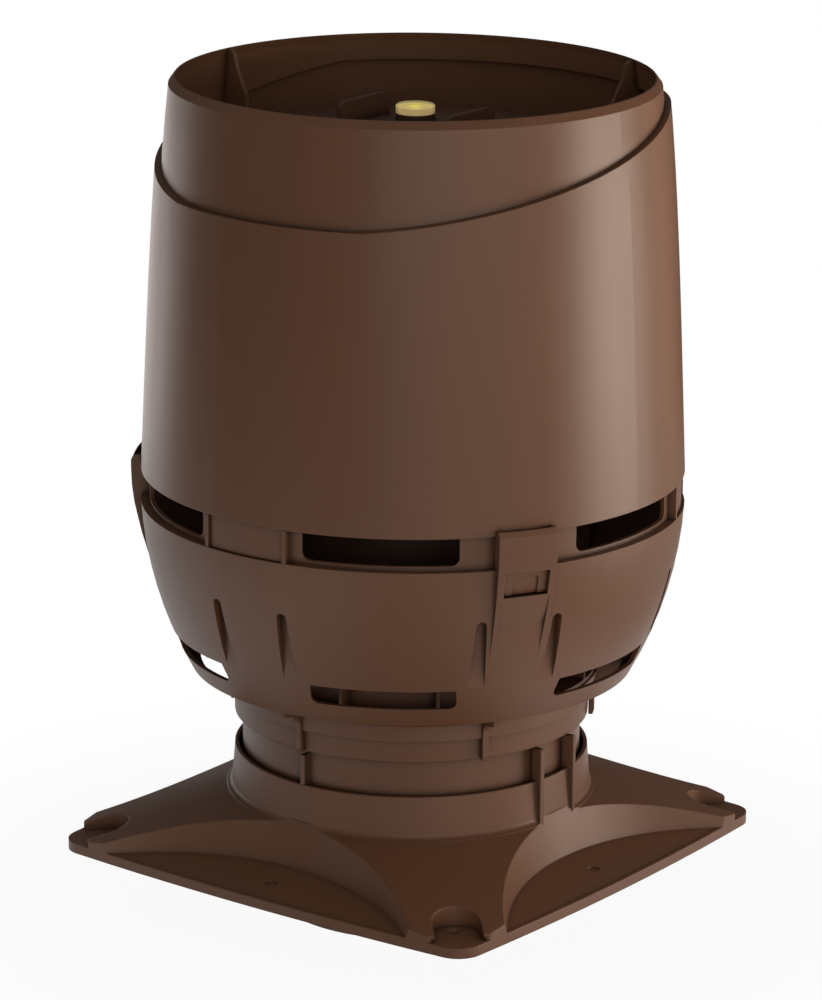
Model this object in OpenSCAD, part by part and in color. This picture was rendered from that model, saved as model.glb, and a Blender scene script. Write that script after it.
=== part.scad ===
// Roof vent pipe: a square roof flange, an insulated neck, a vented bowl and a lift-off hood.
// The origin is the centre of the flange's underside, and +Z is up. The sides of the flange
// run along X and Y. An angle around the axis is counted from -Y towards +X.

/* [Roof flange] */
// Width of the flange across the middles of its sides
flange_w = 300; // [290:1:330]
// How far each side bows out between its corners
flange_bow = 6; // [2:0.5:10]
// Radius of the flange's corners
flange_corner_r = 15; // [10:1:25]
// Height of the flange's outer edge
flange_edge_h = 6; // [5:0.5:9]
// Wall of the flange moulding
flange_wall = 3; // [2:0.5:3.5]
// Height of the sloping top where it meets the collar
slope_top_z = 34; // [30:1:40]
// Fall of the sloping top for each millimetre outwards
slope_fall = 0.28; // [0.24:0.01:0.29]
// Radius of each scoop's wall, seen from above
scoop_r = 177; // [165:1:200]
// Distance from the collar to the middle of a scoop's wall
scoop_gap = 8; // [7:0.5:12]
// Height of a scoop's floor beside its wall
scoop_floor_in = 10.5; // [9:0.5:12]
// Height of a scoop's floor at the outer edge
scoop_floor_out = 5; // [4.5:0.5:7]
// How far a scoop's wall leans back for each millimetre of height
scoop_lean = 0.25; // [0.1:0.05:0.3]
// Width of the screw pocket in each corner
pocket_w = 27; // [20:1:32]
// Distance of each screw from the axis
screw_ring_r = 172.8; // [165:0.2:176]
// Bore of the screw holes
screw_bore = 5.5; // [4:0.5:8]
// Depth of the dished mark in each scoop's floor
mark_depth = 0.6; // [0.3:0.1:1]

/* [Collar] */
// How far the collar stands out from the neck pipe
collar_step = 4.5; // [4.3:0.1:6]
// Height of the collar's top edge
collar_top_z = 58.5; // [52:0.5:64]
// Wall of the collar
collar_wall = 2.2; // [1.5:0.1:2.6]
// Height of the guide posts beside the collar
post_top_z = 78; // [68:1:79]
// Thickness of a guide post
post_t = 3; // [2:0.5:5]
// Half the angle between two guide posts of a pair
post_half_angle = 8.5; // [6:0.5:12]

/* [Neck] */
// Thickness of the foam between the spigot and the neck pipe
foam_t = 13.9; // [12:0.1:15]
// Wall of the neck pipe
neck_wall = 3; // [2:0.5:4]
// Height of the neck pipe's top edge
neck_top_z = 106; // [104:0.5:110]
// Lower edge of the skirt ring
skirt_low_z = 79.3; // [78.5:0.1:84]
// Height of the joint between the skirt ring and the bowl
skirt_top_z = 91.8; // [88:0.1:94]
// How far the skirt ring stands out from the neck pipe
skirt_step = 4.5; // [4:0.1:5.5]

/* [Duct] */
// Outer diameter of the galvanised spigot
spigot_d = 160; // [150:1:160]
// Sheet thickness of the spigot
spigot_sheet = 0.8; // [0.6:0.1:1.2]
// How far the spigot reaches below the roof face
spigot_drop = 35; // [34:1:60]
// Distance from the spigot's lower edge to its stop bead
spigot_grip = 30; // [20:1:30]
// Top edge of the spigot inside the neck
spigot_top_z = 72; // [66:1:76]
// Wall of the inner duct
duct_wall = 2.5; // [1.5:0.1:3]
// Top edge of the inner duct
duct_top_z = 212; // [190:1:220]
// Number of ribs around the inner duct
duct_rib_n = 12; // [6:6:12]
// Top of the ribs around the inner duct
duct_rib_top_z = 136; // [125:1:150]

/* [Bowl] */
// Outer diameter of the bowl at its rim
bowl_d = 310; // [308:0.5:312]
// Height of the bowl's rim
rim_z = 205; // [202:0.5:208]
// Radius of the curve that the bowl's wall follows
bowl_arc_r = 221; // [212:1:230]
// Height of the bowl's bottom edge
bowl_low_z = 109; // [108.5:0.5:112]
// Wall of the bowl
bowl_wall = 3; // [2.5:0.25:3.5]
// Width of the ledge between the bowl's rim and the upright band
rim_ledge = 5; // [5:0.5:6]
// Top edge of the upright band
band_top_z = 232; // [229:0.5:236]
// Half the angle that an upper slot covers
upper_slot_half = 16.5; // [12:0.5:18]
// Lower edge of the upper slots
upper_slot_low_z = 207.4; // [206.5:0.1:212]
// Half the angle that a lower slot covers
lower_slot_half = 17.5; // [15:0.5:17.5]
// Lower edge of the lower slots
lower_slot_low_z = 120.5; // [119:0.5:124]
// Top edge of the lower slots
lower_slot_top_z = 132.3; // [129:0.1:136]
// Radius of the slots' lower corners
slot_corner_r = 4.6; // [2:0.2:5]
// Half the angle between the two grooves of a pair
groove_half = 8.6; // [7.5:0.1:10]
// Top of the grooves in the bowl's wall
groove_top_z = 176; // [170:1:178]
// Bottom of the grooves in the bowl's wall
groove_low_z = 134; // [133:1:140]
// Width of a groove at its top
groove_w = 6; // [4:0.5:8]
// Half the angle between two upright ribs of a pair
rib_half = 10; // [9:0.5:12]
// Thickness of the upright ribs
rib_t = 2.4; // [1.6:0.2:4]
// Thickness of the gussets under the bowl
gusset_t = 3.6; // [2:0.2:5]

/* [Latches] */
// Half the width of a latch strap
strap_half_w = 17.4; // [16.5:0.1:19]
// How far a latch strap stands out from the hood's lower edge
strap_out = 6.1; // [5.6:0.1:8]
// Wall of a latch strap
strap_wall = 2.2; // [1.8:0.1:2.6]
// Top edge of a latch strap
strap_top_z = 227.5; // [225:0.5:231]
// Lower edge of a latch window
window_low_z = 189.5; // [187:0.5:192]
// Upper edge of a latch window
window_top_z = 203.8; // [200:0.2:206]
// Half the width of a latch window
window_half_w = 13.4; // [12:0.2:13.8]
// Clearance around each latch catch
latch_gap = 0.4; // [0.3:0.05:0.6]

/* [Hood] */
// How far the hood's lower edge stands back from the bowl's rim
hood_inset = 0.1; // [-0.3:0.1:0.8]
// Height of the hood's lower edge
hood_low_z = 224; // [222.5:0.5:226]
// Height of the hood's rim
hood_top_z = 448.5; // [440:0.5:470]
// How much the hood's wall draws in for each millimetre upwards
hood_draft = 0.045; // [0.035:0.005:0.05]
// Extra drawing in of the wall near the rim
hood_crown = 2.5; // [1.5:0.25:3]
// Wall of the hood
hood_wall = 3; // [2.5:0.1:3.2]
// Depth of the slanted step around the hood
step_depth = 3.8; // [2:0.1:4]
// Height of the slanted step at the axis
step_z = 418.4; // [414:0.2:420]
// Height of the step's level stretch at its low side
step_low_z = 389.5; // [386:0.5:395]
// Height of the step's level stretch at its high side
step_high_z = 435.5; // [432:0.5:439]
// Slant of the step for each millimetre along Y
step_slant = 0.2195; // [0.18:0.0005:0.23]
// Height of the bevelled band below the rim
rim_band_h = 4.2; // [3:0.1:6]
// How far the bevelled band leans inwards
rim_band_in = 2.7; // [2:0.1:3]
// Thickness of the fins inside the hood
fin_t = 3; // [2:0.5:5]

/* [Centre cover] */
// Diameter of the centre cover
cover_d = 236; // [228:1:238]
// Height at which the cover's edge rests on the fins
cover_seat_z = 404; // [400:0.5:406]
// Rise of the cover from its shoulder to its middle
cover_rise = 12; // [8:0.5:14]
// Wall of the cover
cover_wall = 2.5; // [2:0.1:3]
// Half the distance between the two grips
grip_x = 36.5; // [30:0.5:45]
// Length of a grip
grip_l = 44; // [36:1:52]
// Thickness of a grip
grip_t = 4; // [3:0.5:6]
// Height of the grips' top edge
grip_top_z = 432; // [428:0.5:438]

/* [Bubble level] */
// Diameter of the bubble level
level_d = 22; // [18:0.5:26]
// Height of the bubble level
level_h = 9.5; // [7:0.5:10]
// Wall of the level's cup
level_wall = 1.2; // [1:0.1:1.5]
// Diameter of the bubble
bubble_d = 6; // [4:0.5:7]

/* [Hidden] */
$fn = 96;
brown = "#5A4033";
fit = 0.3;       // clearance between round faces of neighbouring pieces
over = 1;        // how far a cutting shape runs past what it cuts
sixth = 60;      // angle between like features of the bowl
slot_0 = 30;     // angle of the first slot
strap_0 = 60;    // angle of the first latch strap

// Flange
corner_top_z = flange_edge_h;
slope_end_r = 190;
seat_z = 8;
seat_t = 3;
scoop_ref_z = 8;
pocket_arch_r = screw_ring_r + 5;
lip_w = 2.5;
mark_r = 3.5;
sink_depth = 2;
spigot_r = spigot_d / 2;
neck_r = spigot_r + fit + foam_t + fit + neck_wall;
collar_r = neck_r + collar_step;
scoop_mid = collar_r + scoop_gap;
scoop_centre = scoop_mid + scoop_r;
collar_foot_r = collar_r + 1.6;
foot_fillet = 3;
post_out_r = collar_foot_r + 2;
seal_gap = 0.2;
seal_z = slope_top_z + 4;
seal_ledge_r = neck_r + 1;

// Neck and duct
sleeve_top_z = 56;
socket_top_z = 80;
bead_h = 1.4;
duct_r = neck_r - neck_wall - fit;
duct_flange_r = neck_r + 8.5;
duct_rib_t = 2;
flange_screw_r = neck_r + 4;
screw_r = 1.6;
screw_len = 8;
screw_gap = 0.05;

// Hood
hood_span = 204;
bowl_r = bowl_d / 2;
hood_r0 = bowl_r - hood_inset;
hood_steps = 12;
rim_land = 1;
step_wall = 3;

// Bowl
band_r = bowl_r - rim_ledge;
band_wall = 2.5;
bowl_steps = 8;
skirt_r = neck_r + skirt_step;
ring_r = skirt_r + 2.5;
floor_r = duct_flange_r + 1;
lip_t = 3;
bowl_arc_rise = 12;
lip_w_low = 5.5;
groove_depth = 6.4;
groove_skin = 2.4;
strap_r = hood_r0 + strap_out;
strap_bend_z = 220;
strap_blend_z = groove_top_z - 6;
rib_fade_z = groove_low_z + 4;
rib_mid_z = groove_top_z - 8;
rib_bend_z = groove_top_z + 6;
rib_top_z = rim_z - 5;
strap_arc_r = 118;
strap_rib_t = 2.6;
channel_half_w = strap_half_w - 2.9;
channel_in_r = band_r - 1.8;
channel_back_r = channel_in_r - bowl_wall;
tab_low_z = rim_z + fit;
tab_half = rib_half - asin((rib_t / 2 + latch_gap) / band_r);
tab_r = hood_r0 - 1.8;

// Latch catches
catch_half_w = channel_half_w - latch_gap - 0.1;
catch_top_z = hood_low_z - fit;
catch_in_r = hood_r0 - hood_wall + fit;
catch_root_z = hood_low_z - 10;
pad_t = 2.2;
pad_low_z = window_low_z + 0.8;
pad_frame = 3;
pad_recess = 1;

// Centre cover and level
cover_r = cover_d / 2;
shoulder_z = cover_seat_z + 6;
cover_mid_z = shoulder_z + cover_rise;
stage_r = level_d / 2 + 3;
stage_z = cover_mid_z + 1.5;
level_z = stage_z - 1;
fin_r = cover_r + 2.3;
level_lens_t = 1.2;
level_top_z = level_z + level_h;

function arc_r(z) = bowl_r - sqrt(pow(bowl_arc_r, 2) - pow(bowl_arc_rise, 2))
    + sqrt(pow(bowl_arc_r, 2) - pow(rim_z + bowl_arc_rise - z, 2));
lip_r = arc_r(bowl_low_z) - lip_w_low;
function strap_face(z) = strap_r - strap_arc_r
    + sqrt(pow(strap_arc_r, 2) - pow(min(z, strap_bend_z) - strap_bend_z, 2));
function steps(a, b, n) = [for (i = [0:n]) a + i * (b - a) / n];
function hood_r(z) = let (h = z - hood_low_z)
    hood_r0 - hood_draft * h - hood_crown * pow(h / hood_span, 4);
function slope_z(r) = slope_top_z - slope_fall * (r - collar_r - 2);

// Turns what is modelled along +X to an angle around the axis
module at_angle(a) {
    rotate([0, 0, a - 90]) children();
}

// A ring sector of a radius-height profile, centred on +X
module sector(half_angle) {
    rotate([0, 0, -half_angle]) rotate_extrude(angle = 2 * half_angle) children();
}

// A wedge of rings between two radii and two heights, with rounded lower corners
module slot_cut(r_in, r_out, z_low, z_top, half_angle, corner) {
    r_mid = (r_in + r_out) / 2;
    half_w = r_mid * sin(half_angle);
    translate([r_in * cos(half_angle) - over, 0, 0]) rotate([90, 0, 90])
        linear_extrude(r_out - r_in * cos(half_angle) + 2 * over) {
            translate([-half_w, z_low + corner]) square([2 * half_w, z_top - z_low - corner]);
            translate([-half_w + corner, z_low]) square([2 * (half_w - corner), corner + 0.01]);
            for (s = [-1, 1]) translate([s * (half_w - corner), z_low + corner]) circle(corner);
        }
}

// Outline of the flange: four bowed sides that meet in round corners
module flange_outline(inset) {
    half = flange_w / 2 - inset;
    bow_r = (pow(half, 2) + pow(flange_bow, 2)) / (2 * flange_bow);
    corner_r = flange_corner_r - inset;
    back = bow_r - half;
    c = (sqrt(2 * pow(bow_r - corner_r, 2) - pow(back, 2)) - back) / 2;
    turn = atan2(c, c + back);
    chord = (bow_r * (cos(turn) + sin(turn)) - back) / sqrt(2);
    intersection() {
        intersection_for (a = [0, 90, 180, 270]) rotate(a) translate([-back, 0]) circle(bow_r);
        rotate(45) square(2 * chord, center = true);
    }
    for (a = [0, 90, 180, 270]) rotate(a) translate([c, c]) circle(corner_r);
}

// The sloping top of the flange as a solid, lowered by a drop
module slope_solid(drop) {
    rotate_extrude() polygon([
        [0, -over], [slope_end_r, -over], [slope_end_r, slope_z(slope_end_r) - drop],
        [collar_r + 2, slope_top_z - drop], [0, slope_top_z - drop]
    ]);
}

// The space above one scoop's floor, inside a low lip, grown on its floor and upright side
module scoop_space(grow, lip) {
    tilt = atan((scoop_floor_in - scoop_floor_out) / (flange_w / 2 - scoop_mid));
    top = slope_top_z + foot_fillet;
    intersection() {
        translate([0, -scoop_centre, 0]) cylinder(
            h = top,
            r1 = scoop_r + grow - scoop_ref_z * scoop_lean,
            r2 = scoop_r + grow + (top - scoop_ref_z) * scoop_lean
        );
        translate([0, -scoop_mid, scoop_floor_in - grow]) rotate([tilt, 0, 0])
            translate([-flange_w, -flange_w, 0]) cube([2 * flange_w, 2 * flange_w, flange_w]);
        union() {
            translate([0, 0, -over]) linear_extrude(flange_w) flange_outline(lip);
            translate([0, 0, flange_edge_h]) linear_extrude(flange_w) flange_outline(-over);
        }
    }
}

// A corner pocket's outline, open towards the corner, grown by a wall
module pocket_outline(grow) {
    w = pocket_w + 2 * grow;
    translate([pocket_arch_r, 0]) circle(w / 2);
    translate([pocket_arch_r, -w / 2]) square([flange_w / 2, w]);
}

// Flange and collar without the guide posts, hollow underneath
module flange_body() {
    floor_slope = (scoop_floor_in - scoop_floor_out) / (flange_w / 2 - scoop_mid);
    mark_y = (scoop_mid + flange_w / 2) / 2;
    mark_z = scoop_floor_in - floor_slope * (mark_y - scoop_mid);
    difference() {
        union() {
            linear_extrude(flange_edge_h) flange_outline(0);
            intersection() {
                slope_solid(0);
                linear_extrude(flange_w) flange_outline(0);
            }
            rotate_extrude() polygon([
                [0, 0], [collar_foot_r + foot_fillet, 0],
                [collar_foot_r + foot_fillet, slope_top_z - 1],
                for (a = [0:15:90]) [
                    collar_foot_r + foot_fillet * (1 - sin(a)),
                    slope_top_z + foot_fillet * (1 - cos(a))
                ],
                [collar_r, collar_top_z], [0, collar_top_z]
            ]);
        }
        // scoops in the four sides and the dished mark in each floor
        for (a = [0:90:270]) rotate([0, 0, a]) {
            scoop_space(0, lip_w);
            translate([0, -mark_y, mark_z - mark_depth]) cylinder(h = 4, r = mark_r);
        }
        // corner pockets, screw holes and their countersinks
        for (a = [45:90:315]) at_angle(a) {
            translate([0, 0, corner_top_z]) linear_extrude(flange_w) pocket_outline(0);
            translate([screw_ring_r, 0, -over]) cylinder(h = 20, d = screw_bore);
            translate([screw_ring_r, 0, corner_top_z - sink_depth])
                cylinder(h = sink_depth + over, d1 = screw_bore, d2 = screw_bore + 4);
        }
        // hollow underside, clear of the scoops' floors, the pockets and the hub
        difference() {
            intersection() {
                slope_solid(flange_wall);
                translate([0, 0, -over]) linear_extrude(flange_w) flange_outline(flange_wall);
            }
            for (a = [0:90:270]) rotate([0, 0, a]) scoop_space(flange_wall, 0);
            for (a = [45:90:315]) at_angle(a) translate([0, 0, -2 * over])
                linear_extrude(flange_w) pocket_outline(flange_wall);
            translate([0, 0, -2 * over]) cylinder(h = flange_w, r = collar_foot_r);
        }
        // recess below the pipe seat, the seat and the bore of the collar
        difference() {
            translate([0, 0, -over]) cylinder(h = seat_z - seat_t + over, r = collar_r - 3);
            translate([0, 0, -2 * over]) cylinder(h = seat_z, r = spigot_r + fit + 3);
        }
        translate([0, 0, -over]) cylinder(h = collar_top_z, r = spigot_r + fit);
        translate([0, 0, seat_z]) cylinder(h = collar_top_z, r = seal_ledge_r);
        translate([0, 0, seal_z]) cylinder(h = collar_top_z, r = collar_r - collar_wall);
    }
}

// Square roof flange with its collar and its two pairs of guide posts, moulded in one
module base_flange() {
    color(brown) {
        flange_body();
        for (side = [90, 270], s = [-1, 1]) at_angle(side + s * post_half_angle)
            rotate([90, 0, 0]) translate([0, 0, -post_t / 2]) linear_extrude(post_t) polygon([
                [collar_r - over, slope_top_z - over], [post_out_r, slope_top_z - over],
                [post_out_r, post_top_z - 1], [post_out_r - 1, post_top_z],
                [neck_r + fit, post_top_z], [neck_r + fit, collar_top_z - 2],
                [collar_r - over, collar_top_z - 2]
            ]);
    }
}

// Outer pipe of the insulated neck, with the two ribs that sit on the collar
module neck_pipe() {
    color(brown) difference() {
        union() {
            translate([0, 0, seat_z]) cylinder(h = neck_top_z - seat_z, r = neck_r);
            for (a = [0, 180]) at_angle(a) {
                translate([neck_r - over, -post_t / 2, collar_top_z])
                    cube([collar_r - neck_r + over - 0.2, post_t, post_top_z - 2 - collar_top_z]);
                translate([neck_r - over, -post_t / 2, collar_top_z - 10])
                    cube([collar_r - collar_wall - neck_r + over - fit, post_t, 10 + over]);
            }
        }
        translate([0, 0, seat_z - over]) cylinder(h = flange_w, r = neck_r - neck_wall);
    }
}

// Rubber ring between the neck pipe and the collar
module pipe_seal() {
    r_in = neck_r + seal_gap;
    r_out = collar_r - collar_wall - seal_gap;
    color("#1C1B1A") rotate_extrude() polygon([
        [r_in, seal_z], [r_out, seal_z], [r_out, seal_z + 3], [r_in, seal_z + 6]
    ]);
}

// Galvanised sheet duct that enters the building, hung by its flange on the pipe seat, with a
// rolled bead that stops the duct pushed on from below
module duct_spigot() {
    in_r = spigot_r - spigot_sheet;
    bead_z = spigot_grip - spigot_drop;
    flange_r = spigot_r + 6;
    color("#8A857C") rotate_extrude() polygon([
        [in_r, -spigot_drop], [spigot_r, -spigot_drop], [spigot_r, bead_z],
        [spigot_r + bead_h, bead_z + 1], [spigot_r + bead_h, bead_z + 2], [spigot_r, bead_z + 3],
        [spigot_r, seat_z], [flange_r, seat_z], [flange_r, seat_z + spigot_sheet],
        [spigot_r, seat_z + spigot_sheet], [spigot_r, spigot_top_z], [in_r, spigot_top_z],
        [in_r, bead_z + 2.8], [in_r + bead_h, bead_z + 1.8], [in_r + bead_h, bead_z + 1.2],
        [in_r, bead_z + 0.2]
    ]);
}

// Foam sleeve between the spigot and the neck pipe
module insulation_sleeve() {
    z0 = seat_z + spigot_sheet;
    color("#D9D4C6") difference() {
        translate([0, 0, z0]) cylinder(h = sleeve_top_z - z0, r = neck_r - neck_wall - fit);
        translate([0, 0, z0 - over]) cylinder(h = flange_w, r = spigot_r + fit);
    }
}

// Holes for the screws that hold the inner duct and the bowl together
module screw_holes(gap) {
    for (a = [0:sixth:300]) at_angle(a) translate([flange_screw_r, 0, neck_top_z - screw_len])
        cylinder(h = screw_len + duct_wall, r = screw_r + gap);
}

// Inner duct: a socket for the spigot, a flange that holds the bowl down, and a tall throat
module inner_duct() {
    r = duct_r;
    w = duct_wall;
    socket_r = spigot_r + fit;
    color(brown) difference() {
        union() {
            rotate_extrude() polygon([
                [socket_r, sleeve_top_z], [socket_r + w, sleeve_top_z],
                [socket_r + w, socket_top_z], [r, neck_top_z - 8], [r, neck_top_z],
                [duct_flange_r, neck_top_z], [duct_flange_r, neck_top_z + w],
                [r, neck_top_z + w], [r, duct_top_z - 3], [r + 1.5, duct_top_z - 1.5],
                [r, duct_top_z], [r - w, duct_top_z], [r - w, neck_top_z - 7],
                [socket_r - 1, socket_top_z], [socket_r - 1, spigot_top_z + fit],
                [socket_r, spigot_top_z + fit]
            ]);
            for (i = [0:duct_rib_n - 1]) at_angle((i + 0.5) * 360 / duct_rib_n)
                translate([r - over, -duct_rib_t / 2, neck_top_z + over])
                    cube([duct_flange_r - r + over, duct_rib_t, duct_rib_top_z - neck_top_z - over]);
        }
        screw_holes(screw_gap);
    }
}

// Screws through the inner duct's flange into the bowl's ring
module duct_screws() {
    color("#9A9A96") {
        screw_holes(0);
        for (a = [0:sixth:300]) at_angle(a)
            translate([flange_screw_r, 0, neck_top_z + duct_wall]) rotate_extrude() polygon([
                [0, 0], [2 * screw_r, 0], [2 * screw_r, 1], [1.4 * screw_r, 2.2], [0.5, 2.2],
                [0.5, 1.2], [0, 1.2]
            ]);
    }
}

// Skirt ring that closes the joint between the bowl and the neck
module skirt_ring() {
    color(brown) rotate_extrude() polygon([
        [neck_r + fit, skirt_low_z + 1], [skirt_r - 2.4, skirt_low_z], [skirt_r, skirt_low_z],
        [skirt_r + 0.5, skirt_top_z], [neck_r + fit, skirt_top_z]
    ]);
}

// The form of the bowl as a solid without its hollow
module bowl_form() {
    rotate_extrude() polygon([
        [0, bowl_low_z], for (z = steps(bowl_low_z, rim_z, bowl_steps)) [arc_r(z), z], [0, rim_z]
    ]);
}

// Wall of the bowl with its upright band above and a narrow lip at its bottom edge
module bowl_shell() {
    low = bowl_low_z + lip_t;
    top = rim_z - bowl_wall;
    rotate_extrude() polygon([
        [lip_r, bowl_low_z], for (z = steps(bowl_low_z, rim_z, bowl_steps)) [arc_r(z), z],
        [band_r, rim_z], [band_r, band_top_z], [band_r - band_wall, band_top_z],
        [band_r - band_wall, top],
        for (z = steps(top - bowl_wall, low, bowl_steps)) [arc_r(z) - bowl_wall, z],
        [lip_r, low]
    ]);
}

// Ring round the neck that the inner duct's flange is screwed to
module bowl_ring() {
    rotate_extrude() polygon([
        [neck_r + fit, skirt_top_z], [ring_r, skirt_top_z], [ring_r, neck_top_z - 5],
        [floor_r, neck_top_z - 3], [floor_r, neck_top_z], [neck_r + fit, neck_top_z]
    ]);
}

// A tapering groove in the bowl's wall, or the boss behind it when grown
module groove(grow) {
    back_top = arc_r(groove_top_z) - groove_depth;
    lean = atan((back_top - arc_r(groove_low_z)) / (groove_top_z - groove_low_z));
    w = groove_w / 2 + grow;
    len = (groove_top_z - groove_low_z) / cos(lean);
    translate([back_top, 0, groove_top_z]) rotate([0, lean, 0]) translate([-grow, 0, 0])
        rotate([90, 0, 90]) linear_extrude(3 * groove_depth) {
            translate([0, grow - w]) circle(w);
            polygon([[-w, grow - w], [w, grow - w], [1.7 * w, -len - 4], [-1.7 * w, -len - 4]]);
        }
}

// Latch strap that stands over the hood's edge, before its channel is cut
module strap_block() {
    clear_r = hood_r0 + latch_gap;
    low = strap_blend_z;
    sector(asin(strap_half_w / strap_r)) polygon([
        [arc_r(low) - 2, low], for (z = steps(low, strap_bend_z, 5)) [strap_face(z), z],
        [strap_r, strap_top_z - 3], [strap_r - 1.5, strap_top_z], [clear_r, strap_top_z],
        [clear_r, hood_low_z - fit], [band_r - over, hood_low_z - fit],
        [band_r - over, rim_z - 2 * over]
    ]);
}

// Ribs along both sides of a strap that fade out down the bowl
module strap_ribs() {
    for (s = [-1, 1]) rotate([0, 0, s * asin((strap_half_w - strap_rib_t / 2) / strap_r)])
        rotate([90, 0, 0]) translate([0, 0, -strap_rib_t / 2]) linear_extrude(strap_rib_t) polygon([
            [arc_r(rib_fade_z) - 2, rib_fade_z], [arc_r(rib_fade_z), rib_fade_z],
            [arc_r(rib_mid_z) + 1.2, rib_mid_z], [strap_face(rib_bend_z) + 0.5, rib_bend_z],
            [strap_face(rib_top_z), rib_top_z], [arc_r(rib_top_z) - 2, rib_top_z],
            [arc_r(rib_mid_z) - 2, rib_mid_z]
        ]);
}

// Thicker wall behind a latch channel
module channel_back() {
    sector(asin(strap_half_w / strap_r)) polygon([
        [channel_back_r, groove_top_z], [arc_r(groove_top_z) - over, groove_top_z],
        [bowl_r - over, rim_z - over], [band_r - over / 2, rim_z - over],
        [band_r - over / 2, band_top_z - over], [channel_back_r, band_top_z - over]
    ]);
}

// Channel for the latch catch behind a strap, and the window in the strap
module channel_cut() {
    low = window_low_z - over;
    sector(asin(channel_half_w / (band_r + 6))) polygon([
        [channel_in_r, low],
        for (z = steps(low, strap_bend_z, 4)) [strap_face(z) - strap_wall, z],
        [strap_r - strap_wall, strap_top_z + over], [channel_in_r, strap_top_z + over]
    ]);
    sector(asin(window_half_w / strap_r)) polygon([
        [band_r + over, window_low_z], [strap_r + over, window_low_z],
        [strap_r + over, window_top_z], [band_r + over, window_top_z]
    ]);
}

// Spoke that carries the bowl on its ring and runs down over the skirt ring as a gusset
module gusset() {
    r_in = skirt_r + 0.5 + fit;
    r_out = ring_r + 1.5;
    bend = 7;
    bend_z = neck_top_z - 4.5;
    spoke_top_z = lower_slot_low_z - 1.5;
    rotate([90, 0, 0]) translate([0, 0, -gusset_t / 2]) linear_extrude(gusset_t) polygon([
        [r_in, skirt_low_z - fit], [r_out - 0.8, skirt_low_z - fit], [r_out, skirt_low_z + 2],
        for (a = [0:15:90]) [r_out + bend * (1 - cos(a)), bend_z - bend * (1 - sin(a))],
        [lip_r - 2, bend_z + 1.5], [lip_r + over, bowl_low_z + over],
        [arc_r(spoke_top_z) - over, spoke_top_z], [floor_r + 1, spoke_top_z - 3],
        [floor_r, neck_top_z], [ring_r - over, neck_top_z], [ring_r - over, skirt_top_z + over],
        [r_in, skirt_top_z + over]
    ]);
}

// Vented bowl with its upright band, latch straps, grooves and slots, moulded in one
module bowl() {
    color(brown) difference() {
        union() {
            bowl_shell();
            bowl_ring();
            intersection() {
                bowl_form();
                for (a = [0:sixth:300], s = [-1, 1]) at_angle(a + s * groove_half)
                    groove(groove_skin);
            }
            for (a = [0:120:240], s = [-1, 1]) at_angle(a + s * rib_half)
                translate([band_r - over, -rib_t / 2, rim_z - over])
                    cube([bowl_r - 0.2 - band_r + over, rib_t, hood_low_z - fit - rim_z + over]);
            for (a = [strap_0:120:300]) at_angle(a) {
                strap_block();
                strap_ribs();
                channel_back();
            }
            for (a = [0:sixth:300]) at_angle(a) gusset();
        }
        for (a = [0:sixth:300], s = [-1, 1]) at_angle(a + s * groove_half) groove(0);
        for (a = [strap_0:120:300]) at_angle(a) channel_cut();
        screw_holes(screw_gap);
        for (a = [slot_0:sixth:330]) at_angle(a) {
            slot_cut(band_r - band_wall, bowl_r, upper_slot_low_z, upper_slot_low_z + 21,
                upper_slot_half, slot_corner_r);
            slot_cut(arc_r(lower_slot_low_z) - bowl_wall, arc_r(lower_slot_top_z),
                lower_slot_low_z, lower_slot_top_z, lower_slot_half, slot_corner_r);
        }
    }
}

// A solid with the hood's profile, pushed inwards, that runs past both ends by a length
module hood_profile(inset, rim_inset, past) {
    bend_z = hood_top_z - rim_band_h;
    top_r = hood_r(hood_top_z) - inset - rim_inset;
    rotate_extrude() polygon([
        [0, hood_low_z - past], [hood_r0 - inset, hood_low_z - past],
        for (i = [0:hood_steps]) let (z = hood_low_z + i * (bend_z - hood_low_z) / hood_steps)
            [hood_r(z) - inset, z],
        [top_r, hood_top_z], [top_r, hood_top_z + past], [0, hood_top_z + past]
    ]);
}

// Everything below the step: a slanted plane that levels out at its low and its high side
module below_step(drop) {
    intersection() {
        rotate([atan(step_slant), 0, 0])
            translate([-bowl_d, -bowl_d, (step_z - drop) * cos(atan(step_slant)) - 2 * bowl_d])
                cube(2 * bowl_d);
        cylinder(h = step_high_z - drop, r = bowl_d);
    }
    cylinder(h = step_low_z - drop, r = bowl_d);
}

// The hood as a solid: the wide lower shell ends at the step, the narrow one runs on
module hood_solid(inset) {
    hood_profile(step_depth + inset, rim_band_in, 0);
    intersection() {
        hood_profile(inset, 0, 0);
        below_step(0);
    }
}

// The hollow inside the hood, with its own slanted step
module hood_hollow() {
    hood_profile(step_depth + hood_wall, rim_band_in - hood_wall + rim_land, over);
    intersection() {
        hood_profile(hood_wall, 0, over);
        below_step(step_wall);
    }
}

// Fin inside the hood, with the ledge that carries the centre cover
module fin() {
    rotate([90, 0, 0]) translate([0, 0, -fin_t / 2]) linear_extrude(fin_t) polygon([
        [hood_r0, hood_top_z - 0.5], [fin_r + 11, hood_top_z - 0.5], [fin_r + 9, hood_top_z - 3],
        [fin_r + 7, hood_top_z - 11.5], [fin_r + 0.5, hood_top_z - 25.5],
        [fin_r, cover_seat_z], [cover_r - 6, cover_seat_z], [cover_r - 6, cover_seat_z - 6],
        [fin_r + 8, cover_seat_z - 26], [hood_r0, cover_seat_z - 32]
    ]);
}

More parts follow.
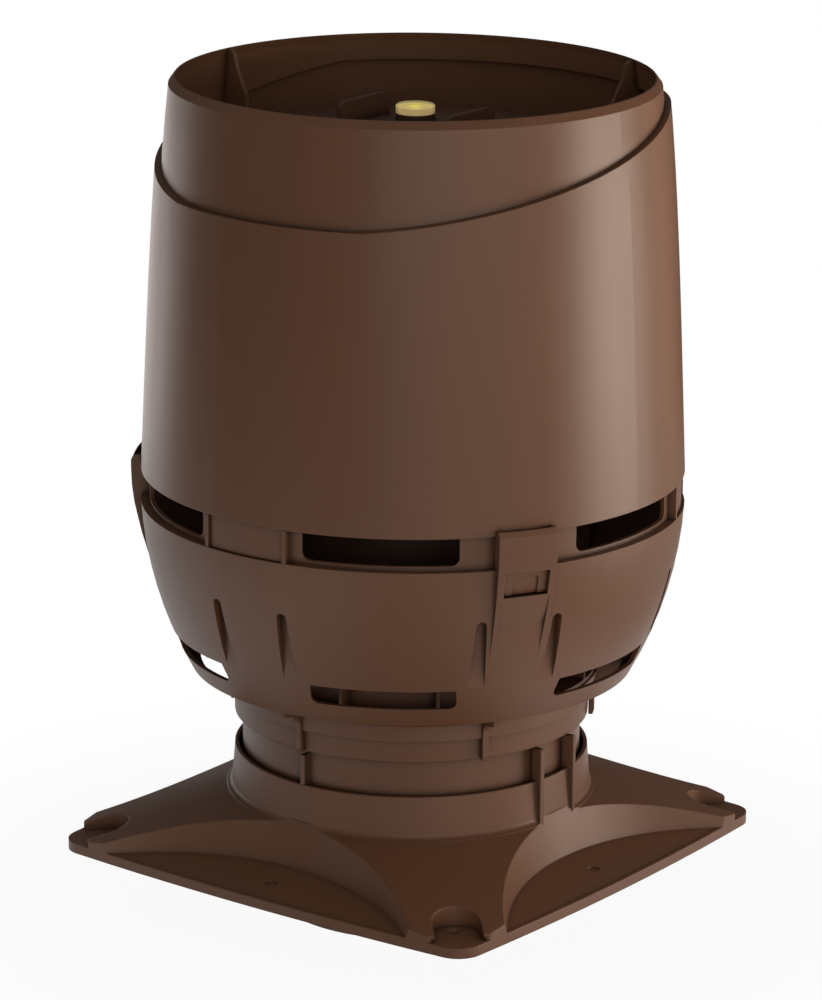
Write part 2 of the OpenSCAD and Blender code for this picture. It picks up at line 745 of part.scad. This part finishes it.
// Hood: two tapering shells joined at a slanted step, with tabs, stops and fins
module hood_shell() {
    stop_r = band_r - band_wall - 0.5;
    color(brown) {
        difference() {
            hood_solid(0);
            hood_hollow();
        }
        intersection() {
            hood_solid(over);
            for (a = [slot_0:120:270]) at_angle(a) fin();
        }
        for (a = [0:120:240]) at_angle(a) sector(tab_half) polygon([
            [band_r + fit, tab_low_z], [tab_r, tab_low_z], [tab_r, hood_low_z + over],
            [band_r + fit, hood_low_z + over]
        ]);
        for (a = [slot_0:sixth:330]) at_angle(a) sector(1) polygon([
            [stop_r, band_top_z], [hood_r(band_top_z) - over, band_top_z],
            [hood_r(band_top_z + 12) - over, band_top_z + 12],
            [hood_r(band_top_z + 12) - hood_wall - 0.5, band_top_z + 12], [stop_r, band_top_z + 3]
        ]);
    }
}

// Latch catch: a tongue below the hood's edge with a framed pad in the strap's window
module latch_catch(angle) {
    reach = strap_wall + latch_gap;
    pocket_half = catch_half_w - latch_gap - 2 * pad_frame;
    pocket_top = window_top_z - pad_frame;
    corner = 2.4;
    color(brown) at_angle(angle) difference() {
        sector(asin(catch_half_w / (band_r + 6))) polygon([
            [catch_in_r, catch_top_z],
            for (z = steps(catch_top_z, pad_low_z, 4)) [strap_face(z) - reach, z],
            for (z = steps(pad_low_z, catch_root_z, 3)) [strap_face(z) - reach - pad_t, z],
            [catch_in_r, catch_root_z + 2]
        ]);
        intersection() {
            sector(asin(catch_half_w / strap_r)) polygon([
                for (z = steps(pad_low_z - over, window_top_z, 3))
                    [strap_face(z) - reach - pad_recess, z],
                [strap_r, window_top_z], [strap_r, pad_low_z - over]
            ]);
            rotate([90, 0, 90]) linear_extrude(bowl_d) {
                translate([-pocket_half, pad_low_z - 2 * over])
                    square([2 * pocket_half, pocket_top - corner - pad_low_z + 2 * over]);
                translate([corner - pocket_half, pocket_top - corner - over])
                    square([2 * (pocket_half - corner), corner + over]);
                for (s = [-1, 1]) translate([s * (pocket_half - corner), pocket_top - corner])
                    circle(corner);
            }
        }
    }
}

module latch_a() { latch_catch(strap_0); }
module latch_b() { latch_catch(strap_0 + 120); }
module latch_c() { latch_catch(strap_0 + 240); }

// Upright grip with rounded top corners
module grip() {
    round_r = 5;
    h = grip_top_z - shoulder_z - 2;
    rotate([90, 0, 90]) translate([0, 0, -grip_t / 2]) linear_extrude(grip_t) {
        translate([-grip_l / 2, 0]) square([grip_l, h - round_r]);
        translate([-grip_l / 2 + round_r, 0]) square([grip_l - 2 * round_r, h]);
        for (s = [-1, 1]) translate([s * (grip_l / 2 - round_r), h - round_r]) circle(round_r);
    }
}

// Centre cover: a shallow cone on the fins' ledges, with two grips and a stage for the level
module centre_cover() {
    w = cover_wall;
    color("#3F2D25") difference() {
        union() {
            rotate_extrude() polygon([
                [0, cover_mid_z - w], [0, stage_z], [stage_r - 1, stage_z],
                [stage_r, stage_z - 1], [stage_r + 1.5, cover_mid_z],
                [cover_r - 6, shoulder_z], [cover_r - 1.2, shoulder_z - 2.5],
                [cover_r, cover_seat_z], [cover_r - w, cover_seat_z],
                [cover_r - w - 1, shoulder_z - 4], [cover_r - 7, shoulder_z - w],
                [stage_r + 1.5, cover_mid_z - w]
            ]);
            intersection() {
                for (s = [-1, 1]) translate([s * grip_x, 0, shoulder_z + 2]) grip();
                rotate_extrude() polygon([
                    [0, cover_mid_z - over], [stage_r + 1.5, cover_mid_z - over],
                    [cover_r - 6, shoulder_z - over], [cover_r - 6, 2 * grip_top_z],
                    [0, 2 * grip_top_z]
                ]);
            }
        }
        translate([0, 0, level_z]) cylinder(h = 10, d = level_d + 2 * fit);
    }
}

// Clear cup of the bubble level
module level_cup() {
    color("#E3CE7A") difference() {
        translate([0, 0, level_z]) cylinder(h = level_h - level_lens_t, d = level_d);
        translate([0, 0, level_z + level_wall]) cylinder(h = level_h, d = level_d - 2 * level_wall);
    }
}

// Yellow fluid that fills the cup around the bubble
module level_fluid() {
    h = level_h - level_lens_t - level_wall;
    color("#D9C52B") difference() {
        translate([0, 0, level_z + level_wall])
            cylinder(h = h, d = level_d - 2 * level_wall - 0.1);
        translate([0, 0, level_z + level_wall + h - bubble_d / 2 - 0.2]) sphere(d = bubble_d + 0.1);
    }
}

// Air bubble in the fluid
module level_bubble() {
    h = level_h - level_lens_t - level_wall;
    color("#F4F0D2") translate([0, 0, level_z + level_wall + h - bubble_d / 2 - 0.2])
        sphere(d = bubble_d);
}

// Clear lens that closes the level, with the ring that the bubble is set to
module level_lens() {
    color("#E9DDA0") translate([0, 0, level_top_z - level_lens_t]) rotate_extrude() polygon([
        [0, 0], [level_d / 2, 0], [level_d / 2, 0.6], [level_d / 2 - 0.6, level_lens_t],
        [bubble_d / 2 + 1.4, level_lens_t], [bubble_d / 2 + 1.2, level_lens_t - 0.3],
        [bubble_d / 2 + 0.8, level_lens_t - 0.3], [bubble_d / 2 + 0.6, level_lens_t],
        [0, level_lens_t]
    ]);
}

base_flange();
neck_pipe();
pipe_seal();
duct_spigot();
insulation_sleeve();
inner_duct();
duct_screws();
skirt_ring();
bowl();
hood_shell();
latch_a();
latch_b();
latch_c();
centre_cover();
level_cup();
level_fluid();
level_bubble();
level_lens();
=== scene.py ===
# Looks of a roof vent pipe: a moulded plastic flange, neck, vented bowl and lift-off hood on a
# galvanised duct. Metres throughout. X and Y run along the flange's sides, and Z goes up the duct.
import math

import bpy
import numpy as np
from mathutils import Matrix, Vector


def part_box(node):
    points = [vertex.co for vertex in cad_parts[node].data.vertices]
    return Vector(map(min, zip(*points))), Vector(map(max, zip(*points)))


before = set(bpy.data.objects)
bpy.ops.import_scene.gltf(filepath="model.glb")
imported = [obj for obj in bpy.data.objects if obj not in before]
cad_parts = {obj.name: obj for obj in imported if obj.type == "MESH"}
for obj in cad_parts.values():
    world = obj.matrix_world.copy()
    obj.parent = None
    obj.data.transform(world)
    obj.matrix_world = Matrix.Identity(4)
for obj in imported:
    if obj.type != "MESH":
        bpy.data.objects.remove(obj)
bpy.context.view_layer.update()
scene = bpy.context.scene


# ---- The roof pipe's setting: a pale studio floor, soft lamps and the camera -------------------
# The pipe stands on the lower end of its spigot, as it does before it goes on a roof, so the pale
# floor lies just below the flange. The camera looks slightly down on the hood's low side.
floor_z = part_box("duct_spigot")[0][2]
azimuth = math.radians(36.855)


class Wire:
    """One output of a node, on which Python's arithmetic adds Math nodes."""

    def __init__(self, finish, socket):
        self.finish, self.socket = finish, socket

    def _math(self, operation, *terms):
        return self.finish.node("ShaderNodeMath", {"operation": operation}, *terms)

    def __add__(self, other):
        return self._math("ADD", self, other)

    def __sub__(self, other):
        return self._math("SUBTRACT", self, other)

    def __rsub__(self, other):
        return self._math("SUBTRACT", other, self)

    def __mul__(self, other):
        return self._math("MULTIPLY", self, other)

    def __abs__(self):
        return self._math("ABSOLUTE", self)

    def within(self, low, high):
        """0 below low, 1 above high, and a soft ramp between them."""
        return self.finish.node(
            "ShaderNodeMapRange", {"interpolation_type": "SMOOTHSTEP", "clamp": True},
            Value=self, From_Min=low, From_Max=high)

    __radd__, __rmul__ = __add__, __mul__


class Finish:
    """A material made of nodes, around one Principled shader."""

    def __init__(self, name, **settings):
        self.material = bpy.data.materials.new(name)
        self.material.use_nodes = True
        self.tree = self.material.node_tree
        self.shader = self.tree.nodes["Principled BSDF"]
        self.set(**settings)

    def put(self, target, value):
        """Links a wire to a socket, or sets the socket's own value."""
        if isinstance(value, Wire):
            self.tree.links.new(value.socket, target)
        elif not hasattr(target.default_value, "__len__"):
            target.default_value = value
        elif hasattr(value, "__len__"):
            target.default_value = (tuple(value) + (1.0,))[:len(target.default_value)]
        else:
            target.default_value = (value,) * len(target.default_value)

    def set(self, **inputs):
        for name, value in inputs.items():
            self.put(self.shader.inputs[name.replace("_", " ")], value)

    def node(self, kind, settings, *values, out=0, **named):
        """Adds a node: its settings first, then values or links by place or by name."""
        made = self.tree.nodes.new(kind)
        for key, value in settings.items():
            setattr(made, key, value)
        for i, value in enumerate(values):
            self.put(made.inputs[i], value)
        for name, value in named.items():
            live = [s for s in made.inputs if s.name == name.replace("_", " ") and s.enabled]
            self.put(live[0], value)
        live = [s for s in made.outputs if s.enabled]
        return Wire(self, live[out] if isinstance(out, int) else made.outputs[out])

    def place(self):
        return self.node("ShaderNodeTexCoord", {}, out="Object")

    def vector(self, operation, *terms):
        return self.node("ShaderNodeVectorMath", {"operation": operation}, *terms)

    def along(self, point, direction):
        """How far a point lies along a direction."""
        return self.node("ShaderNodeVectorMath", {"operation": "DOT_PRODUCT"}, point, direction,
                         out="Value")

    def length(self, point):
        return self.node("ShaderNodeVectorMath", {"operation": "LENGTH"}, point, out="Value")

    def noise(self, scale, detail=2.0, rough=0.5, vector=None):
        return self.node("ShaderNodeTexNoise", {}, Vector=vector or self.place(),
                         Scale=scale, Detail=detail, Roughness=rough)

    def mix(self, share, first, second):
        return self.node("ShaderNodeMix", {"data_type": "RGBA"}, Factor=share, A=first, B=second)

    def bump(self, height, depth, normal=None):
        """A normal from a height, where depth is the metres that a height of 1 stands for."""
        named = {"Height": height, "Distance": depth, "Strength": 1.0}
        if normal:
            named["Normal"] = normal
        return self.node("ShaderNodeBump", {}, **named)


def round_floor(reach, rings, turns):
    """A flat disc: the radius grows along one parameter and the angle turns along the other."""
    r, a = np.meshgrid(np.linspace(0.02, reach, rings),
                       np.linspace(0, 2 * math.pi, turns + 1)[:-1], indexing="ij")
    points = np.stack([r * np.cos(a), r * np.sin(a), np.full_like(r, floor_z)], -1)
    i, k = np.meshgrid(np.arange(rings - 1), np.arange(turns), indexing="ij")
    a, b = i * turns + k, i * turns + (k + 1) % turns
    faces = np.stack([a, a + turns, b + turns, b], -1).reshape(-1, 4)
    mesh = bpy.data.meshes.new("studio_floor")
    mesh.from_pydata(points.reshape(-1, 3), [], faces.tolist() + [list(range(turns))])
    return bpy.data.objects.new("studio_floor", mesh)


def pale_floor():
    """Nearly white to the camera, so that a soft shadow stays, and pure white further out. Gloss
    on the pipe picks the white up on its left, for the bright rim of the bowl, and in a strip on
    its right, for the flange's edges."""
    finish = Finish("studio_white", Base_Color=0.68, Roughness=0.9)
    place = finish.place()
    white = finish.node("ShaderNodeEmission", {}, (1, 1, 1), 1.0)
    seen, glossy, through = (
        finish.node("ShaderNodeLightPath", {}, out=ray)
        for ray in ("Is Camera Ray", "Is Glossy Ray", "Is Transmission Ray"))
    far = finish.length(place).within(0.2, 0.42)
    left = finish.along(place, (-math.cos(azimuth), -math.sin(azimuth), 0))
    right = 0 - left
    strip = right.within(0.1, 0.16) * (1 - right.within(0.28, 0.36))
    mirrored = 0.12 + left.within(0.04, 0.34) * 0.76 + strip * 0.65
    share = seen * (0.94 + far * 0.06) + through * 0.9 + glossy * mirrored
    plain = Wire(finish, finish.shader.outputs[0])
    both = finish.node("ShaderNodeMixShader", {}, share, plain, white)
    finish.tree.links.new(both.socket, finish.tree.nodes["Material Output"].inputs["Surface"])
    return finish.material


floor = round_floor(reach=1.1, rings=12, turns=96)
floor.data.materials.append(pale_floor())
scene.collection.objects.link(floor)

# the camera stands at azimuth 36.86 degrees and looks 15.88 degrees down, from 2.5 m away
pitch, yaw, roll = (math.radians(a) for a in (15.878, 0.023, 0.38))
reach, eye_z, focal_px, frame_px = 2.5027, 0.9142, 4552.7, 1000
eye = Vector((reach * math.sin(azimuth), -reach * math.cos(azimuth), eye_z))
ahead = Vector((-math.sin(azimuth), math.cos(azimuth), 0))
across = Vector((math.cos(azimuth), math.sin(azimuth), 0))
look = ((ahead * math.cos(yaw) - across * math.sin(yaw)) * math.cos(pitch)
        - Vector((0, 0, math.sin(pitch))))
right = look.cross(Vector((0, 0, 1))).normalized()
over = right.cross(look)
right, over = (right * math.cos(roll) + over * math.sin(roll),
               over * math.cos(roll) - right * math.sin(roll))
camera = bpy.data.objects.new("photo_view", bpy.data.cameras.new("photo_view"))
camera.data.sensor_fit = "VERTICAL"
camera.data.sensor_height = 36
camera.data.lens = focal_px / frame_px * camera.data.sensor_height
camera.data.clip_end = 50
camera.matrix_world = Matrix((
    (right.x, over.x, -look.x, eye.x), (right.y, over.y, -look.y, eye.y),
    (right.z, over.z, -look.z, eye.z), (0, 0, 0, 1)))
scene.collection.objects.link(camera)
scene.camera = camera


def softbox(name, turn, height, away, width, tall, watts, colour):
    """A soft lamp at an angle from the camera, seen from above, that faces the hood's middle."""
    hood_middle = Vector((0, 0, 0.28))
    lamp = bpy.data.lights.new(name, "AREA")
    lamp.shape, lamp.size, lamp.size_y = "RECTANGLE", width, tall
    lamp.energy, lamp.color = watts, colour
    box = bpy.data.objects.new(name, lamp)
    angle = azimuth + math.radians(turn)
    place = Vector((away * math.sin(angle), -away * math.cos(angle), height))
    facing = (hood_middle - place).to_track_quat("-Z", "Y").to_matrix().to_4x4()
    box.matrix_world = Matrix.Translation(place) @ facing
    scene.collection.objects.link(box)


softbox("lamp_right", 90, 0.05, 2.0, 1.2, 1.1, 30, (1.0, 0.86, 0.74))
softbox("lamp_edge", 132, 0.0, 2.0, 0.6, 1.2, 2.5, (1.0, 0.6, 0.38))
softbox("lamp_left", -146, -0.25, 2.0, 2.1, 0.9, 12, (1.0, 0.92, 0.88))
softbox("lamp_front", 18, 0.6, 3.0, 3.8, 1.5, 25, (1.0, 0.9, 0.8))


def studio_air(around, mirrored):
    """White where the camera or a clear piece sees it, dim where it only lights the pieces."""
    world = bpy.data.worlds.new("studio_air")
    world.use_nodes = True
    tree = world.node_tree
    path, strength = tree.nodes.new("ShaderNodeLightPath"), None
    for ray, share in (("Is Camera Ray", 1.0), ("Is Transmission Ray", 1.0),
                       ("Is Glossy Ray", mirrored)):
        step = tree.nodes.new("ShaderNodeMix")
        tree.links.new(path.outputs[ray], step.inputs["Factor"])
        if strength is None:
            step.inputs["A"].default_value = around
        else:
            tree.links.new(strength, step.inputs["A"])
        step.inputs["B"].default_value = share
        strength = step.outputs["Result"]
    tree.links.new(strength, tree.nodes["Background"].inputs["Strength"])
    tree.nodes["Background"].inputs["Color"].default_value = (1, 1, 1, 1)
    return world


scene.world = studio_air(around=0.33, mirrored=0.06)
scene.view_settings.view_transform = "Standard"


# ---- Roof flange: square, with four scooped sides, a collar and two pairs of guide posts --------
# One moulding of polypropylene, coloured right through, with a fine satin grain from the mould.
# It is screwed to the roof through its corner pockets, and its long edges are well rounded.
def linear(text):
    """A colour written as six hexadecimal digits, as linear red, green and blue."""
    part = np.array([int(text[i:i + 2], 16) for i in (0, 2, 4)]) / 255
    return tuple(np.where(part > 0.04045, ((part + 0.055) / 1.055) ** 2.4, part / 12.92))


def shade(colour, share):
    return tuple(c * share for c in colour)


def moulded(name, colour, gloss, rounding=0.0006, painted_shade_reach=0.005, painted_shade_heights=None, curve=None):
    """Satin plastic: even colour with soft blotches and faint flow marks, painted shade that
    darkens creases, hollows and sheltered places out to a given reach, a fine mould grain, and
    edges rounded to the radius rounding. Two heights, if given, paint shade that darkens it from
    the lower one up, fully above the higher one, and curve is a function that smooths the normal."""
    grain_depth, painted_shade_tone = 0.00002, 0.3
    finish = Finish(name, Roughness=gloss, IOR=1.49)
    place = finish.place()
    cloud = finish.noise(7.0, 3.0, 0.55, place)
    grain = finish.noise(900.0, 2.0, 0.6, place)
    flow = finish.noise(60.0, 3.0, 0.5, finish.node(
        "ShaderNodeMapping", {}, place, (0, 0, 0), (0, 0, 0), (1, 1, 0.15)))
    tone = 0.5 + (cloud - 0.5) * 0.5 + (flow - 0.5) * 0.25
    plain = finish.mix(tone, shade(colour, 0.86), shade(colour, 1.14))
    # painted shade: ambient occlusion darkens the colour to 0.3 of itself in creases, hollows and
    # under overhangs
    lit = finish.node("ShaderNodeAmbientOcclusion", {"samples": 6}, (1, 1, 1), painted_shade_reach,
                      out="AO").within(0.35, 0.95)
    # painted shade: darker upwards between the two heights, and dark above the higher one
    if painted_shade_heights:
        lit = lit * (1 - finish.along(place, (0, 0, 1)).within(*painted_shade_heights))
    finish.set(Base_Color=finish.mix(lit, shade(colour, painted_shade_tone), plain))
    finish.set(Roughness=gloss + (flow - 0.5) * 0.08 + (grain - 0.5) * 0.06)
    edge = finish.node("ShaderNodeBevel", {"samples": 6}, rounding)
    if curve:
        edge = curve(finish, place, edge)
    finish.set(Normal=finish.bump(grain, grain_depth, edge))
    return finish.material


def dress(material, *names):
    """Puts a finish on nodes of the frame."""
    for name in names:
        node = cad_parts[name]
        node.data.materials.clear()
        node.data.materials.append(material)


brown = linear("6D4A34")
dress(moulded("flange_plastic", brown, 0.44, rounding=0.0014), "base_flange")


# ---- Neck pipe, its seal, and the skirt ring under the bowl -------------------------------------
# The pipe and the ring are plain brown mouldings, with painted shade that darkens them in the
# shelter of the bowl. The seal in the collar is a ring of black rubber.
def rubbery():
    """Rubber: nearly black, dull, with a dusty bloom."""
    finish = Finish("seal_rubber", Roughness=0.75)
    bloom = finish.noise(60.0, 4.0, 0.6)
    finish.set(Base_Color=finish.mix(bloom, linear("161514"), linear("2B2927")))
    finish.set(Normal=finish.bump(finish.noise(1500.0), 0.00003))
    return finish.material


# a wide reach of painted shade darkens the pipe and the ring under the bowl
dress(moulded("pipe_plastic", brown, 0.42, painted_shade_reach=0.02), "neck_pipe")
dress(rubbery(), "pipe_seal")
dress(moulded("skirt_plastic", brown, 0.44, painted_shade_reach=0.03), "skirt_ring")


# ---- Duct spigot and the foam sleeve around it --------------------------------------------------
# The spigot is rolled from galvanised sheet, whose zinc shows pale crystals, and hangs in the neck
# by its flange. The sleeve is closed-cell foam, pushed over it.
def galvanised():
    """Zinc crystals: each cell of a cell pattern has its own grey and its own gloss."""
    finish = Finish("galvanised_sheet", Metallic=1.0)
    place = finish.place()
    ragged = finish.vector("ADD", place, finish.node(
        "ShaderNodeTexNoise", {}, Vector=place, Scale=90.0, out=1))
    cell = finish.node("ShaderNodeTexVoronoi", {}, Vector=ragged, Scale=85.0, out="Color")
    grey = finish.node("ShaderNodeSeparateColor", {}, cell)
    finish.set(Base_Color=finish.mix(grey, linear("8E8A83"), linear("B5B2AB")))
    finish.set(Roughness=0.32 + grey * 0.2)
    finish.set(Normal=finish.bump(finish.noise(400.0, 2.0, 0.5, place), 0.00003))
    return finish.material


def foamed():
    """Foam: a pale body with small dimples between its cells."""
    finish = Finish("sleeve_foam", Roughness=0.9)
    cell = finish.node("ShaderNodeTexVoronoi", {"feature": "DISTANCE_TO_EDGE"},
                       Vector=finish.place(), Scale=700.0, out="Distance")
    wall = cell.within(0.0, 0.3)
    finish.set(Base_Color=finish.mix(wall, linear("A9A496"), linear("D9D4C6")))
    finish.set(Normal=finish.bump(wall, 0.0002))
    return finish.material


dress(galvanised(), "duct_spigot")
dress(foamed(), "insulation_sleeve")


# ---- Vented bowl, with the inner duct that six screws hold on its ring --------------------------
# The bowl is one brown moulding with slots, grooves and three latch straps, and its wall is an
# arc. The inner duct is brown too, with painted shade that darkens it upwards. The screws are
# plated steel.
def bowl_arc(finish, place, edge):
    """The wall is one arc turned round the axis, and its solid is made of narrow cones. Where a
    point lies on the arc, the normal points straight away from the arc's middle."""
    radius, middle_r, middle_z = 0.221, -0.06567, 0.217
    flat = finish.vector("MULTIPLY", place, (1, 1, 0))
    r, z = finish.length(flat), finish.along(place, (0, 0, 1))
    across = finish.node("ShaderNodeVectorMath", {"operation": "SCALE"},
                         finish.vector("NORMALIZE", flat), Scale=r - middle_r)
    arm = finish.vector("ADD", across, finish.node("ShaderNodeCombineXYZ", {}, Z=z - middle_z))
    straight = finish.vector("NORMALIZE", arm)
    alike = finish.along(straight, edge).within(0.99, 0.998)
    share = (1 - abs(finish.length(arm) - radius).within(0.00015, 0.0003)) * alike
    return finish.node("ShaderNodeMix", {"data_type": "VECTOR"}, Factor=share, A=edge, B=straight)


def plated():
    """Zinc-plated steel: grey metal with turning marks."""
    finish = Finish("screw_steel", Metallic=1.0)
    mark = finish.noise(2500.0, 2.0, 0.5)
    finish.set(Base_Color=finish.mix(mark, linear("84847F"), linear("B3B3AF")))
    finish.set(Roughness=0.28 + mark * 0.15)
    return finish.material


dress(moulded("bowl_plastic", brown, 0.42, rounding=0.0005, curve=bowl_arc), "bowl")
# painted shade darkens the inner duct from 150 mm upwards, fully from 190 mm
dress(moulded("duct_plastic", brown, 0.5, painted_shade_heights=(0.15, 0.19)), "inner_duct")
dress(plated(), "duct_screws")


# ---- Hood with its three spring catches ---------------------------------------------------------
# Two tapering shells in one brown moulding, a little glossier than the bowl. The catches are small
# mouldings with crisp edges that snap into the straps' windows.
dress(moulded("hood_plastic", brown, 0.4), "hood_shell")
dress(moulded("latch_plastic", brown, 0.42, rounding=0.0003, painted_shade_reach=0.003),
      "latch_a", "latch_b", "latch_c")


# ---- Centre cover -------------------------------------------------------------------------------
# A round moulding in a darker brown, which lies on the hood's fins and lifts out by its two grips.
# It has a small stage in the middle for the bubble level.
dress(moulded("cover_plastic", shade(brown, 0.7), 0.45), "centre_cover")


# ---- Bubble level on the centre cover -----------------------------------------------------------
# A clear cast cup on a brown foot, filled with yellow fluid, with an air bubble under a lens. The
# fitter sets the pipe upright until the bubble lies inside the lens's ring.
def clear(name, middle, outer, gloss, cover, painted_glow, foot_z=0.0):
    """Clear or tinted cast plastic with fine scratches. The colour changes from the middle
    outwards, and everything below a height is the opaque brown of the cup's foot. Above the foot
    it glows faintly in its tint, which is painted light."""
    finish = Finish(name, IOR=1.45, Emission_Strength=painted_glow)
    place = finish.place()
    r = finish.length(finish.vector("MULTIPLY", place, (1, 1, 0)))
    z = finish.along(place, (0, 0, 1))
    foot = 1 - z.within(foot_z - 0.0001, foot_z + 0.0001)
    tint = finish.mix(r.within(0.0015, 0.0055), middle, outer)
    finish.set(Base_Color=finish.mix(foot, tint, linear("4A3428")))
    finish.set(Emission_Color=finish.mix(foot, tint, (0, 0, 0)))
    finish.set(Alpha=cover + foot * (1 - cover))
    finish.set(Roughness=gloss + finish.noise(1200.0, 3.0, 0.7) * 0.06 + foot * 0.4)
    return finish.material


straw, tan, sand = linear("F0E67C"), linear("CDB486"), linear("E2D79A")
yellow, dull_yellow, pale_yellow = linear("F2E84C"), linear("CDBB6A"), linear("FBF8A8")
# painted light: the cup, the fluid, the bubble and the lens glow faintly in their own tints
dress(clear("level_cup_clear", straw, tan, 0.08, 0.6, 0.35, foot_z=0.4272), "level_cup")
dress(clear("level_yellow", yellow, dull_yellow, 0.05, 0.9, 0.35), "level_fluid")
dress(clear("level_air", pale_yellow, straw, 0.02, 0.8, 0.5), "level_bubble")
dress(clear("level_lens_clear", straw, sand, 0.03, 0.3, 0.35), "level_lens")
